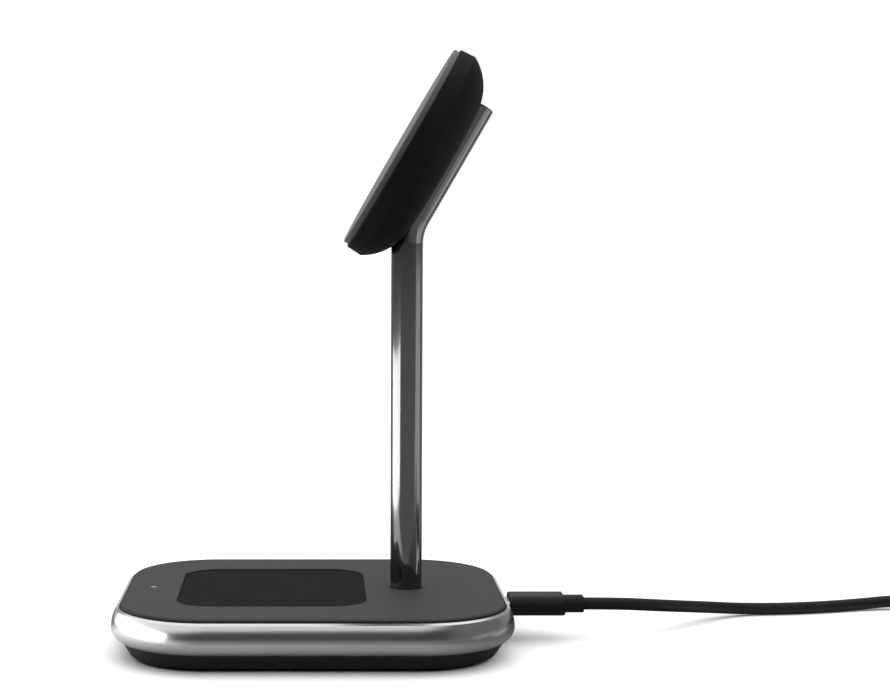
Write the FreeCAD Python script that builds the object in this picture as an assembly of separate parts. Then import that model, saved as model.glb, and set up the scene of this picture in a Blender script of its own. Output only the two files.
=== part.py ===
import FreeCAD, Part
import math
import os

from FreeCAD import Placement, Rotation, Vector

# Two-in-one wireless charging station: a weighted base with a charging spot in its deck,
# a bent round stem, and a magnetic charging head that leans back.
# Millimetres, +Z up, origin on the table under the middle of the base.
# The user sits on the -X side; the power lead leaves the base on the +X side.
os.makedirs("parts", exist_ok=True)

# Base: overall plan at the widest line of the metal band
BASE_LENGTH = 102.2
BASE_WIDTH = 86.4
BASE_CORNER = 24.4

# Base: heights of what shows, from the table up
FOOT_HEIGHT = 1.0
TRAY_SIDE = 3.7
BAND_HEIGHT = 8.1
DECK_CROWN = 0.9

# Base: insets from the widest line
DECK_INSET = 2.0
BAND_CHAMFER = 0.8
BAND_CHAMFER_DROP = 0.4
BAND_WIDEST_RISE = 3.3
BAND_FOOT_INSET = 2.2
BAND_INNER_INSET = 4.0
BAND_LEDGE_DROP = 2.8
TRAY_TOP_INSET = 2.4
TRAY_BOTTOM_INSET = 4.4
TRAY_EDGE = 1.0
TRAY_EDGE_MIDDLE = 0.3
TRAY_EDGE_DIP = 0.12
TRAY_EDGE_RISE = 0.5

# Base: walls and fits; a cutting tool runs past its workpiece by OVERRUN
FIT = 0.1
OVERRUN = 1.0
TRAY_FLOOR = 2.0
TRAY_RIM_WALL = 1.5
TRAY_RIM_RISE = 2.3
DECK_WALL = 2.0
DECK_SKIRT = 2.5
DECK_EDGE = 1.3

# Charging spot in the deck
SPOT_FRONT_INSET = 16.5
SPOT_LENGTH = 48.2
SPOT_WIDTH = 50.2
SPOT_CORNER = 9.0
SPOT_DEPTH = 0.8
SPOT_EDGE = 0.35
INLAY_THICKNESS = 0.5
INLAY_GAP = 0.2
SPOT_COIL_INSET = 6.1
SPOT_COIL_WIDTH = 9.0
SPOT_COIL_THICKNESS = 1.0
SPOT_FERRITE_INSET = 4.1
SPOT_FERRITE_THICKNESS = 0.7

# Status light
LIGHT_INSET = 9.2
LIGHT_DIAMETER = 1.6
LIGHT_PIPE_DIAMETER = 2.6
LED_LENGTH = 1.6
LED_WIDTH = 0.8
LED_HEIGHT = 0.7
LED_GAP = 0.2

# Feet and the screws that close the base
SCREW_END_INSET = 15.1
SCREW_SIDE_INSET = 14.7
FOOT_DIAMETER = 9.0
FOOT_POCKET = 0.5
FOOT_EDGE = 0.4
POST_DIAMETER = 7.0
BOSS_DIAMETER = 6.0
SCREW_DIAMETER = 2.4
SCREW_HEAD_DIAMETER = 4.5
SCREW_HEAD_HEIGHT = 1.4
SCREW_GRIP = 4.0
SCREW_CLEARANCE = 0.25
SCREW_HEAD_ROUND = 0.35
THREAD_GAP = 0.02

# Ballast, stem socket
BALLAST_FRONT_INSET = 13.1
BALLAST_REAR_INSET = 15.6
BALLAST_SIDE_INSET = 19.2
BALLAST_CORNER = 4.0
BALLAST_THICKNESS = 2.5
SOCKET_FLANGE_DIAMETER = 19.0
SOCKET_FLANGE_HEIGHT = 2.0
SOCKET_HUB_DIAMETER = 11.6
SOCKET_HUB_GAP = 0.3
SOCKET_SCREW_CIRCLE = 15.0
SOCKET_SCREW_COUNT = 3
SOCKET_SCREW_START = 60.0
SOCKET_SCREW_DIAMETER = 2.0
SOCKET_SCREW_HEAD = 3.0
SOCKET_SCREW_HEAD_HEIGHT = 1.2
SOCKET_SCREW_BITE = 1.8

# Circuit board
BOARD_RISE = 3.4
BOARD_THICKNESS = 1.2
BOARD_END_INSET = 6.1
BOARD_WIDTH = 34.0
BOARD_POST_DIAMETER = 4.4
BOARD_POST_INSET = 3.0
BOARD_POST_SIDE_INSET = 4.0
BOARD_SCREW_DIAMETER = 1.8
BOARD_SCREW_HEAD = 3.4
BOARD_SCREW_HEAD_HEIGHT = 1.0
BOARD_SCREW_BITE = 2.2
BOARD_SOCKET_GAP = 0.5
CHIP_SIDE = 6.0
CHIP_HEIGHT = 0.9
INDUCTOR_SIDE = 6.5
INDUCTOR_HEIGHT = 1.9
CAPACITOR_LENGTH = 3.2
CAPACITOR_WIDTH = 1.6
CAPACITOR_HEIGHT = 1.4
CAPACITOR_PITCH = 5.0
CAPACITOR_COUNT = 6
PARTS_INSET = 8.0
PARTS_FORWARD = 19.0

# Power socket, and the plugs of its lead
PORT_WIDTH = 8.94
PORT_HEIGHT = 3.26
PORT_WALL = 0.3
PORT_LENGTH = 7.3
PORT_SETBACK = 0.5
PORT_HOLE_GAP = 0.3
PORT_HOLE_REACH = 12.8
TONGUE_WIDTH = 6.6
TONGUE_THICKNESS = 0.7
TONGUE_LENGTH = 4.6
PLUG_SHELL_LENGTH = 6.4
PLUG_SHELL_GAP = 0.08
PLUG_SHELL_WALL = 0.35
PLUG_BODY_LENGTH = 14.5
PLUG_BODY_WIDTH = 11.0
PLUG_BODY_HEIGHT = 5.2
PLUG_BODY_EDGE = 0.4
PLUG_FACE_GAP = 0.4
RELIEF_LENGTH = 5.2
RELIEF_WIDTH = 5.8
RELIEF_HEIGHT = 4.5
RELIEF_EDGE = 0.3

# Stem
STEM_REAR_INSET = 26.6
STEM_DIAMETER = 8.3
STEM_WALL = 1.2
STEM_BEND_Z = 107.8
STEM_BEND_RADIUS = 14.0
STEM_LEAN = 30.0
STEM_ARM = 37.2
STEM_FIT = 0.05
STEM_HOLE_GAP = 0.15
CAP_THICKNESS = 1.0
CAP_EDGE = 0.5
CAP_SPIGOT = 3.0

# Charging head, stacked along its axis from the stem's centreline
HEAD_ALONG = 17.4
HEAD_DIAMETER = 58.9
HEAD_RIM = 4.2
HEAD_FRONT = 11.3
HEAD_BACK = 0.4
HEAD_DOME_FLAT = 34.0
HEAD_WALL = 2.0
HEAD_EDGE = 0.5
HEAD_RIM_DRAFT = 0.25
FACE_INSET = 0.95
FACE_THICKNESS = 1.4
FACE_EDGE = 0.4
FRAME_SEAT = 7.3
FRAME_THICKNESS = 1.2
FRAME_GAP = 0.2
FRAME_SHOULDER = 2.4
MAGNET_RIM_GAP = 0.45
MAGNET_WIDTH = 4.1
MAGNET_COUNT = 18
MAGNET_GAP_DEG = 2.0
MAGNET_THICKNESS = 2.1
YOKE_THICKNESS = 0.6
HEAD_COIL_INSET = 0.5
HEAD_COIL_WIDTH = 11.0
HEAD_COIL_THICKNESS = 1.2
HEAD_FERRITE_GAP = 1.2
HEAD_FERRITE_THICKNESS = 0.8
HEAD_BOARD_LENGTH = 14.0
HEAD_BOARD_WIDTH = 18.0
HEAD_BOARD_THICKNESS = 1.0
RIB_HALF_WIDTH = 6.5
RIB_FRONT = 5.6
HEAD_SCREW_SPACING = 19.0
HEAD_SCREW_DIAMETER = 2.0
HEAD_SCREW_HEAD = 3.5
HEAD_SCREW_HEAD_HEIGHT = 0.6
HEAD_SCREW_BITE = 0.2

# Lead inside the stem
LEAD_DIAMETER = 2.4
LEAD_TURN = 4.0
LEAD_HOLE_DIAMETER = 4.6
LEAD_HOLE_OFFSET = 0.3
LEAD_SLOT_GAP = 0.4
LEAD_RISE = 1.6
LEAD_PLUG_LENGTH = 5.0
LEAD_PLUG_WIDTH = 5.0
LEAD_PLUG_HEIGHT = 3.0
LEAD_PLUG_GAP = 0.5

# Power cord
CORD_DIAMETER = 3.3
CORD_LIFT = 0.05
CORD_ARC_SHARE = 0.45
CORD_FIRST_RUN = 9.0
CORD_LAST_RUN = 9.0
CORD_END_X = 122.0
CORD_END_Y = 37.0
# Points of the cord between its ends: x from the plug's face, y, and its height over its run on the table
CORD_ROUTE = [
    (38.5, 4.4, 6.2),
    (48.0, 12.6, 4.15),
    (57.0, 22.0, 1.95),
    (67.5, 28.6, 0.15),
    (79.0, 29.4, 0.0),
    (90.7, 31.4, 0.0),
    (102.0, 35.0, 0.0),
]
COIL_MID_RADIUS = 20.0
COIL_COLUMNS = 4
COIL_LAYERS = 2
COIL_EDGE = 1.575
COIL_PITCH = 3.5
COIL_LEAD_IN = 16.0
COIL_LEAD_OUT = 16.0
TIE_WIDTH = 8.0
TIE_THICKNESS = 0.5
TIE_GAP = 0.1
TIE_ANGLE = 215.0
TAIL_END_RUN = 7.0
TAIL_DROP_RUN = 10.0

# Places in plan, tied to the base's ends and sides
half = BASE_LENGTH / 2
half_width = BASE_WIDTH / 2
spot_x = SPOT_FRONT_INSET + SPOT_LENGTH / 2 - half
light_x = LIGHT_INSET - half
stem_x = half - STEM_REAR_INSET
screw_x = half - SCREW_END_INSET
screw_y = half_width - SCREW_SIDE_INSET
board_length = BASE_LENGTH - 2 * BOARD_END_INSET
board_post_x = board_length / 2 - BOARD_POST_INSET
board_post_y = BOARD_WIDTH / 2 - BOARD_POST_SIDE_INSET

# Heights worked out from the sizes above
z_tray_bottom = FOOT_HEIGHT
z_tray_floor = z_tray_bottom + TRAY_FLOOR
z_band_bottom = z_tray_bottom + TRAY_SIDE
z_band_top = z_band_bottom + BAND_HEIGHT
z_ledge = z_band_top - BAND_LEDGE_DROP
z_deck_top = z_band_top + DECK_CROWN
z_deck_under = z_deck_top - DECK_WALL
z_spot_floor = z_deck_top - SPOT_DEPTH
z_ballast_top = z_tray_floor + BALLAST_THICKNESS
z_board_under = z_tray_floor + BOARD_RISE
z_board_top = z_board_under + BOARD_THICKNESS
z_port = z_board_top + PORT_HEIGHT / 2
z_lead = z_board_top + LEAD_RISE

X_AXIS = Vector(1, 0, 0)
Y_AXIS = Vector(0, 1, 0)
Z_AXIS = Vector(0, 0, 1)
lean = math.radians(STEM_LEAN)
arm_direction = Vector(math.sin(lean), 0, math.cos(lean))
bend_point = Vector(stem_x, 0, STEM_BEND_Z)
head_centre = bend_point + arm_direction * HEAD_ALONG
# In the head's own frame +Z points to its back and +X runs down the arm
head_place = Placement(head_centre, Rotation(Y_AXIS, 90 + STEM_LEAN))


def save(name, shape):
    """Writes one sub-part, after a look at its validity and volume."""
    if not shape.isValid() or shape.Volume <= 0:
        raise RuntimeError(f"{name} is not a valid solid")
    shape.exportStep(f"parts/{name}.step")
    print(f"{name}: {len(shape.Solids)} solid, {shape.Volume:.1f} mm3")


def one(shape):
    """The single solid of a boolean result."""
    return shape.Solids[0] if len(shape.Solids) == 1 else shape


def at_head(shape):
    """Moves a shape from the head's own frame to its place on the stem."""
    shape.Placement = head_place.multiply(shape.Placement)
    return shape


def rounded_rectangle(length, width, radius, z):
    """A closed outline about the Z axis, of four sides and four corner arcs."""
    x, y = length / 2, width / 2
    cx, cy = x - radius, y - radius
    edges = []
    corners = [(cx, cy, 0), (-cx, cy, 90), (-cx, -cy, 180), (cx, -cy, 270)]
    for i, (px, py, start) in enumerate(corners):
        arc = Part.Circle(Vector(px, py, z), Z_AXIS, radius)
        edges.append(Part.Arc(arc, math.radians(start), math.radians(start + 90)).toShape())
        nx, ny, turn = corners[(i + 1) % 4]
        a = math.radians(turn)
        begin = Vector(px + radius * math.cos(a), py + radius * math.sin(a), z)
        end = Vector(nx + radius * math.cos(a), ny + radius * math.sin(a), z)
        if begin.distanceToPoint(end) > 1e-6:
            edges.append(Part.makeLine(begin, end))
    return Part.Wire(edges)


def slab(length, width, radius, z_low, z_high):
    """A plate with rounded corners, centred on the Z axis."""
    face = Part.Face(rounded_rectangle(length, width, radius, z_low))
    return face.extrude(Vector(0, 0, z_high - z_low))


def base_slab(inset, z_low, z_high):
    """A plate that follows the base's plan at an inset from its widest line."""
    return slab(BASE_LENGTH - 2 * inset, BASE_WIDTH - 2 * inset, BASE_CORNER - inset, z_low, z_high)


def band(profile):
    """Carries a section, drawn in XZ on the +X side, round the base's plan."""
    run_y = BASE_WIDTH / 2 - BASE_CORNER
    run_x = BASE_LENGTH / 2 - BASE_CORNER
    side = profile.translated(Vector(0, -run_y, 0)).extrude(Vector(0, 2 * run_y, 0))
    pivot = Vector(run_x, run_y, 0)
    section = profile.translated(Vector(0, run_y, 0))
    corner = section.revolve(pivot, Z_AXIS, 90)
    turned = section.copy()
    turned.rotate(pivot, Z_AXIS, 90)
    long_side = turned.extrude(Vector(-2 * run_x, 0, 0))
    turned = turned.translated(Vector(-2 * run_x, 0, 0))
    far_corner = turned.revolve(Vector(-run_x, run_y, 0), Z_AXIS, 90)
    half = [side, corner, long_side, far_corner]
    other = []
    for piece in half:
        copy = piece.copy()
        copy.rotate(Vector(0, 0, 0), Z_AXIS, 180)
        other.append(copy)
    return one(half[0].multiFuse(half[1:] + other).removeSplitter())


def polygon(points):
    """A flat face from corner points."""
    return Part.Face(Part.makePolygon(points + points[:1]))


def cylinder(diameter, low, high, x=0.0, y=0.0):
    """An upright cylinder between two heights."""
    return Part.makeCylinder(diameter / 2, high - low, Vector(x, y, low))


def washer(outer, inner, low, high):
    """An upright ring between two heights, on the Z axis."""
    return cylinder(outer, low, high).cut(cylinder(inner, low, high))


def box(length, width, low, high, x=0.0, y=0.0):
    """An upright block centred on a point in plan."""
    return Part.makeBox(length, width, high - low, Vector(x - length / 2, y - width / 2, low))


def stadium_bar(width, height, length):
    """A bar along +X with full round sides, its section centred on the X axis."""
    run = (width - height) / 2
    r = height / 2
    top = Part.makeLine(Vector(0, run, r), Vector(0, -run, r))
    left = Part.Arc(Vector(0, -run, r), Vector(0, -run - r, 0), Vector(0, -run, -r)).toShape()
    low = Part.makeLine(Vector(0, -run, -r), Vector(0, run, -r))
    right = Part.Arc(Vector(0, run, -r), Vector(0, run + r, 0), Vector(0, run, r)).toShape()
    return Part.Face(Part.Wire([top, left, low, right])).extrude(Vector(length, 0, 0))


def screw(head, head_height, shank, length):
    """A pan-head screw on the Z axis: its head below z = 0 and its shank above."""
    top = Part.makeCylinder(head / 2, head_height, Vector(0, 0, -head_height))
    rim = [e for e in top.Edges if abs(e.BoundBox.ZMax + head_height) < 1e-6 and e.isClosed()]
    top = top.makeFillet(SCREW_HEAD_ROUND * head_height, rim[:1])
    return one(top.fuse(Part.makeCylinder(shank / 2, length)))


def group(shapes):
    """Several like pieces that share one node."""
    return Part.makeCompound(shapes)


def route_radius(before, here, after):
    """An easy arc at a point of a route: it uses a set share of the shorter run."""
    a, b = before - here, after - here
    turn = math.pi - a.getAngle(b)
    return CORD_ARC_SHARE * min(a.Length, b.Length) / math.tan(turn / 2)


def route_wire(points, radii):
    """Straight runs joined by tangent arcs, with one radius for each inner point."""
    edges = []
    start = points[0]
    for before, here, after, radius in zip(points, points[1:], points[2:], radii):
        to_before = (before - here).normalize()
        to_after = (after - here).normalize()
        half = to_before.getAngle(to_after) / 2
        tangent = radius / math.tan(half)
        enter = here + to_before * tangent
        leave = here + to_after * tangent
        inward = (to_before + to_after).normalize()
        middle = here + inward * (radius / math.sin(half) - radius)
        if start.distanceToPoint(enter) > 1e-6:
            edges.append(Part.LineSegment(start, enter).toShape())
        edges.append(Part.Arc(enter, middle, leave).toShape())
        start = leave
    edges.append(Part.LineSegment(start, points[-1]).toShape())
    return Part.Wire(edges)


def tube(points, radii, diameter):
    """A round bar along a route."""
    path = route_wire(points, radii)
    ring = Part.Circle(points[0], (points[1] - points[0]).normalize(), diameter / 2)
    bar = path.makePipeShell([Part.Wire(ring.toShape())], True, False)
    bar = Part.Solid(bar) if bar.ShapeType != "Solid" else bar
    expected = math.pi * diameter**2 / 4 * path.Length
    if abs(bar.Volume / expected - 1) > 0.01:
        raise RuntimeError("a tube's volume does not match its section and length")
    return bar


# Metal band: chamfered top edge, barrel side, inner ledge for the deck
z_widest = z_band_bottom + BAND_WIDEST_RISE
chamfer_x = half - DECK_INSET + BAND_CHAMFER
chamfer_z = z_band_top - BAND_CHAMFER_DROP
upper = Vector(chamfer_x, 0, chamfer_z)
widest = Vector(half, 0, z_widest)
lower = Vector(half - BAND_FOOT_INSET, 0, z_band_bottom)
inner_top = Vector(half - DECK_INSET, 0, z_band_top)
upper_drop = chamfer_z - z_widest
lower_drop = z_widest - z_band_bottom
upper_radius = (upper_drop**2 + (half - chamfer_x)**2) / (2 * (half - chamfer_x))
lower_radius = (lower_drop**2 + BAND_FOOT_INSET**2) / (2 * BAND_FOOT_INSET)


def barrel_point(radius, rise):
    """A point of the band's side at a height above or below its widest line."""
    x = half - radius + math.sqrt(radius**2 - rise**2)
    return Vector(x, 0, z_widest + rise)


band_edges = [
    Part.makeLine(inner_top, upper),
    Part.Arc(upper, barrel_point(upper_radius, upper_drop / 2), widest).toShape(),
    Part.Arc(widest, barrel_point(lower_radius, -lower_drop / 2), lower).toShape(),
]
band_inner = half - BAND_INNER_INSET
corners = [
    lower,
    Vector(band_inner, 0, z_band_bottom),
    Vector(band_inner, 0, z_ledge),
    Vector(half - DECK_INSET, 0, z_ledge),
    inner_top,
]
for begin, end in zip(corners, corners[1:]):
    band_edges.append(Part.makeLine(begin, end))
metal_band = band(Part.Face(Part.Wire(band_edges)))
port_hole = stadium_bar(PORT_WIDTH + 2 * PORT_HOLE_GAP, PORT_HEIGHT + 2 * PORT_HOLE_GAP, half)
port_hole.translate(Vector(half - PORT_HOLE_REACH, 0, z_port))
metal_band = one(metal_band.cut(port_hole))
save("metal_band", metal_band)

# Bottom tray: tapered side, floor, locating rim, posts for the case screws and the board
tray_wall = polygon([
    Vector(half - TRAY_BOTTOM_INSET - TRAY_EDGE, 0, z_tray_bottom),
    Vector(half - TRAY_BOTTOM_INSET - TRAY_EDGE_MIDDLE, 0, z_tray_bottom + TRAY_EDGE_DIP),
    Vector(half - TRAY_BOTTOM_INSET, 0, z_tray_bottom + TRAY_EDGE_RISE),
    Vector(half - TRAY_TOP_INSET, 0, z_band_bottom),
    Vector(half - BAND_INNER_INSET - FIT, 0, z_band_bottom),
    Vector(half - BAND_INNER_INSET - FIT, 0, z_band_bottom + TRAY_RIM_RISE),
    Vector(half - BAND_INNER_INSET - FIT - TRAY_RIM_WALL, 0, z_band_bottom + TRAY_RIM_RISE),
    Vector(half - BAND_INNER_INSET - FIT - TRAY_RIM_WALL, 0, z_tray_bottom),
])
rim_inset = BAND_INNER_INSET + FIT + TRAY_RIM_WALL
tray = band(tray_wall)
tray = tray.fuse(base_slab(rim_inset, z_tray_bottom, z_tray_floor))
corner_spots = [(screw_x, screw_y), (-screw_x, screw_y), (-screw_x, -screw_y), (screw_x, -screw_y)]
board_spots = [(x, y) for x in (-board_post_x, board_post_x) for y in (-board_post_y, board_post_y)]
z_foot_top = z_tray_bottom + FOOT_POCKET
z_screw_head = z_foot_top + SCREW_HEAD_HEIGHT + FIT
posts = [cylinder(POST_DIAMETER, z_tray_bottom, z_board_under, x, y) for x, y in corner_spots]
posts += [cylinder(BOARD_POST_DIAMETER, z_tray_bottom, z_board_under, x, y) for x, y in board_spots]
tray = tray.multiFuse(posts)
cuts = []
for x, y in corner_spots:
    cuts.append(cylinder(FOOT_DIAMETER + 2 * FIT, z_tray_bottom - OVERRUN, z_foot_top, x, y))
    cuts.append(cylinder(SCREW_HEAD_DIAMETER + 2 * SCREW_CLEARANCE, z_tray_bottom, z_screw_head, x, y))
    cuts.append(cylinder(SCREW_DIAMETER + 2 * SCREW_CLEARANCE, z_tray_bottom, z_board_under + OVERRUN, x, y))
board_screw_tip = z_board_under - BOARD_SCREW_BITE
for x, y in board_spots:
    cuts.append(cylinder(BOARD_SCREW_DIAMETER + 2 * THREAD_GAP, board_screw_tip - FIT, z_board_top, x, y))
tray = one(tray.cut(cuts).removeSplitter())
save("bottom_tray", tray)

# Rubber feet, one in each pocket, over the heads of the case screws
foot_names = ["rear_left", "front_left", "front_right", "rear_right"]
for name, (x, y) in zip(foot_names, corner_spots):
    foot = cylinder(FOOT_DIAMETER, 0, z_foot_top, x, y)
    rim = [e for e in foot.Edges if e.BoundBox.ZMax < 1e-6]
    save(f"foot_{name}", foot.makeFillet(FOOT_EDGE, rim))

# Deck: soft-touch top with a rolled edge, the charging spot, bosses and holes
deck = base_slab(DECK_INSET + FIT, z_ledge, z_deck_top)
rim = [e for e in deck.Edges if e.BoundBox.ZMin > z_deck_top - 1e-6]
deck = deck.makeFillet(DECK_EDGE, rim)
deck = deck.cut(base_slab(DECK_INSET + DECK_SKIRT, z_ledge - OVERRUN, z_deck_under))
spot = slab(SPOT_LENGTH, SPOT_WIDTH, SPOT_CORNER, z_spot_floor, z_deck_top + OVERRUN)
deck = deck.cut(spot.translated(Vector(spot_x, 0, 0)))
spot_line = []
for e in deck.Edges:
    b = e.BoundBox
    inside = abs(b.Center.x - spot_x) <= SPOT_LENGTH / 2 + 1e-3 and abs(b.Center.y) <= SPOT_WIDTH / 2 + 1e-3
    if b.ZMin > z_deck_top - 1e-6 and inside:
        spot_line.append(e)
deck = deck.makeFillet(SPOT_EDGE, spot_line)
bosses = [cylinder(BOSS_DIAMETER, z_board_under, z_deck_under + FIT, x, y) for x, y in corner_spots]
deck = deck.multiFuse(bosses)
z_screw_tip = z_board_under + SCREW_GRIP
cuts = [port_hole, cylinder(STEM_DIAMETER + 2 * STEM_HOLE_GAP, z_ledge, z_deck_top + OVERRUN, stem_x)]
cuts.append(cylinder(LIGHT_DIAMETER + 2 * STEM_FIT, z_ledge, z_deck_top + OVERRUN, light_x))
for x, y in corner_spots:
    cuts.append(cylinder(SCREW_DIAMETER + 2 * THREAD_GAP, z_board_under - OVERRUN, z_screw_tip + FIT, x, y))
deck = one(deck.cut(cuts).removeSplitter())
save("deck", deck)

# Inlay of the charging spot, with its coil and ferrite under the deck
inlay = slab(SPOT_LENGTH - 2 * INLAY_GAP, SPOT_WIDTH - 2 * INLAY_GAP, SPOT_CORNER - INLAY_GAP,
             z_spot_floor, z_spot_floor + INLAY_THICKNESS)
save("spot_inlay", inlay.translated(Vector(spot_x, 0, 0)))
z_coil_low = z_deck_under - SPOT_COIL_THICKNESS
coil_outer = SPOT_LENGTH - 2 * SPOT_COIL_INSET
coil = washer(coil_outer, coil_outer - 2 * SPOT_COIL_WIDTH, z_coil_low, z_deck_under)
save("spot_coil", coil.translated(Vector(spot_x, 0, 0)))
ferrite_side = SPOT_LENGTH - 2 * SPOT_FERRITE_INSET
ferrite = box(ferrite_side, ferrite_side, z_coil_low - SPOT_FERRITE_THICKNESS, z_coil_low, spot_x)
save("spot_ferrite", ferrite)

# Case screws, driven up through the tray's posts into the deck's bosses
case_screw = screw(SCREW_HEAD_DIAMETER, SCREW_HEAD_HEIGHT, SCREW_DIAMETER, z_screw_tip - z_screw_head)
save("case_screws", group([case_screw.translated(Vector(x, y, z_screw_head)) for x, y in corner_spots]))

# Steel ballast plate on the tray's floor, and the socket that stands the stem on it
ballast_length = BASE_LENGTH - BALLAST_FRONT_INSET - BALLAST_REAR_INSET
ballast_width = BASE_WIDTH - 2 * BALLAST_SIDE_INSET
ballast = slab(ballast_length, ballast_width, BALLAST_CORNER, z_tray_floor, z_ballast_top)
ballast = ballast.translated(Vector((BALLAST_FRONT_INSET - BALLAST_REAR_INSET) / 2, 0, 0))
z_flange_top = z_ballast_top + SOCKET_FLANGE_HEIGHT
z_hub_top = z_deck_under - SOCKET_HUB_GAP
socket = cylinder(SOCKET_FLANGE_DIAMETER, z_ballast_top, z_flange_top, stem_x)
socket = socket.fuse(cylinder(SOCKET_HUB_DIAMETER, z_ballast_top, z_hub_top, stem_x))
socket = socket.cut(cylinder(STEM_DIAMETER + 2 * STEM_FIT, 0, z_deck_top, stem_x))
lead_slot_half = LEAD_DIAMETER / 2 + LEAD_SLOT_GAP
z_slot = z_lead - lead_slot_half
lead_slot = Part.makeBox(SOCKET_FLANGE_DIAMETER, 2 * lead_slot_half, z_deck_under - FIT - z_slot,
                         Vector(stem_x, -lead_slot_half, z_slot))
socket = socket.cut(lead_slot)
socket_screw = screw(SOCKET_SCREW_HEAD, SOCKET_SCREW_HEAD_HEIGHT, SOCKET_SCREW_DIAMETER,
                     SOCKET_FLANGE_HEIGHT + SOCKET_SCREW_BITE)
socket_screw.rotate(Vector(0, 0, 0), X_AXIS, 180)
socket_screws = []
for i in range(SOCKET_SCREW_COUNT):
    a = math.radians(SOCKET_SCREW_START + 360 / SOCKET_SCREW_COUNT * i)
    x = stem_x + SOCKET_SCREW_CIRCLE / 2 * math.cos(a)
    y = SOCKET_SCREW_CIRCLE / 2 * math.sin(a)
    z_hole = z_ballast_top - SOCKET_SCREW_BITE - FIT
    hole = cylinder(SOCKET_SCREW_DIAMETER + 2 * THREAD_GAP, z_hole, z_flange_top, x, y)
    socket = socket.cut(hole)
    ballast = ballast.cut(hole)
    socket_screws.append(socket_screw.translated(Vector(x, y, z_flange_top)))
save("ballast_plate", one(ballast))
save("stem_socket", one(socket))
save("socket_screws", group(socket_screws))

# Circuit board on its posts, and what is soldered to it
board = box(board_length, BOARD_WIDTH, z_board_under, z_board_top)
board = board.cut(cylinder(SOCKET_FLANGE_DIAMETER + 2 * BOARD_SOCKET_GAP, 0, z_deck_top, stem_x))
board_screw = screw(BOARD_SCREW_HEAD, BOARD_SCREW_HEAD_HEIGHT, BOARD_SCREW_DIAMETER,
                    BOARD_THICKNESS + BOARD_SCREW_BITE)
board_screw.rotate(Vector(0, 0, 0), X_AXIS, 180)
board_screws = []
for x, y in board_spots:
    board = board.cut(cylinder(BOARD_SCREW_DIAMETER + 2 * SCREW_CLEARANCE, 0, z_deck_top, x, y))
    board_screws.append(board_screw.translated(Vector(x, y, z_board_top)))
save("main_board", one(board))
save("board_screws", group(board_screws))
parts_x = stem_x - PARTS_FORWARD
parts_y = BOARD_WIDTH / 2 - PARTS_INSET
chip = box(CHIP_SIDE, CHIP_SIDE, z_board_top, z_board_top + CHIP_HEIGHT, parts_x, -parts_y)
save("controller_chip", chip)
inductor = box(INDUCTOR_SIDE, INDUCTOR_SIDE, z_board_top, z_board_top + INDUCTOR_HEIGHT, parts_x, parts_y)
save("power_inductor", inductor)
z_capacitor_top = z_board_top + CAPACITOR_HEIGHT
capacitors = []
for i in range(CAPACITOR_COUNT):
    x = parts_x - INDUCTOR_SIDE - CAPACITOR_PITCH * i
    capacitors.append(box(CAPACITOR_LENGTH, CAPACITOR_WIDTH, z_board_top, z_capacitor_top, x, parts_y))
save("capacitors", group(capacitors))
save("status_led", box(LED_LENGTH, LED_WIDTH, z_board_top, z_board_top + LED_HEIGHT, light_x))
pipe = cylinder(LIGHT_PIPE_DIAMETER, z_board_top + LED_HEIGHT + LED_GAP, z_deck_under, light_x)
save("light_pipe", one(pipe.fuse(cylinder(LIGHT_DIAMETER, z_deck_under, z_deck_top, light_x))))

# USB-C socket at the board's rear edge: a metal shell and the contact tongue inside it
port_mouth = half - PORT_SETBACK
port_back = port_mouth - PORT_LENGTH
shell = stadium_bar(PORT_WIDTH, PORT_HEIGHT, PORT_LENGTH)
bore = stadium_bar(PORT_WIDTH - 2 * PORT_WALL, PORT_HEIGHT - 2 * PORT_WALL, PORT_LENGTH - PORT_WALL)
shell = shell.cut(bore.translated(Vector(PORT_WALL, 0, 0)))
save("port_shell", one(shell.translated(Vector(port_back, 0, z_port))))
tongue = Part.makeBox(PORT_WALL + TONGUE_LENGTH, TONGUE_WIDTH, TONGUE_THICKNESS,
                      Vector(port_back + PORT_WALL, -TONGUE_WIDTH / 2, z_port - TONGUE_THICKNESS / 2))
save("port_tongue", tongue)

# Stem: a bent round tube with a side slot for its lead, and a cap on its upper end
arm_end = bend_point + arm_direction * (STEM_ARM - CAP_THICKNESS)
stem_foot = Vector(stem_x, 0, z_ballast_top)
stem_bore = STEM_DIAMETER - 2 * STEM_WALL
past_foot = stem_foot - Z_AXIS * OVERRUN
past_arm = arm_end + arm_direction * OVERRUN
stem = tube([stem_foot, bend_point, arm_end], [STEM_BEND_RADIUS], STEM_DIAMETER)
stem = stem.cut(tube([past_foot, bend_point, past_arm], [STEM_BEND_RADIUS], stem_bore))
stem = stem.cut(lead_slot)
wall_depth = RIB_FRONT + OVERRUN
lead_hole = at_head(cylinder(LEAD_HOLE_DIAMETER, -wall_depth, 0, LEAD_HOLE_OFFSET))
head_screw_spots = [-HEAD_SCREW_SPACING / 2, HEAD_SCREW_SPACING / 2]
head_screw_holes = []
for x in head_screw_spots:
    head_screw_holes.append(at_head(cylinder(HEAD_SCREW_DIAMETER + 2 * THREAD_GAP, -wall_depth, 0, x)))
stem = one(stem.cut([lead_hole] + head_screw_holes))
save("stem_tube", stem)
cap = cylinder(STEM_DIAMETER, 0, CAP_THICKNESS)
rim = [e for e in cap.Edges if e.BoundBox.ZMin > CAP_THICKNESS - 1e-6]
cap = cap.makeFillet(CAP_EDGE, rim)
cap = one(cap.fuse(cylinder(stem_bore - 2 * STEM_FIT, -CAP_SPIGOT, 0)))
cap.Placement = Placement(arm_end, Rotation(Y_AXIS, STEM_LEAN))
save("stem_cap", cap)

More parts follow.
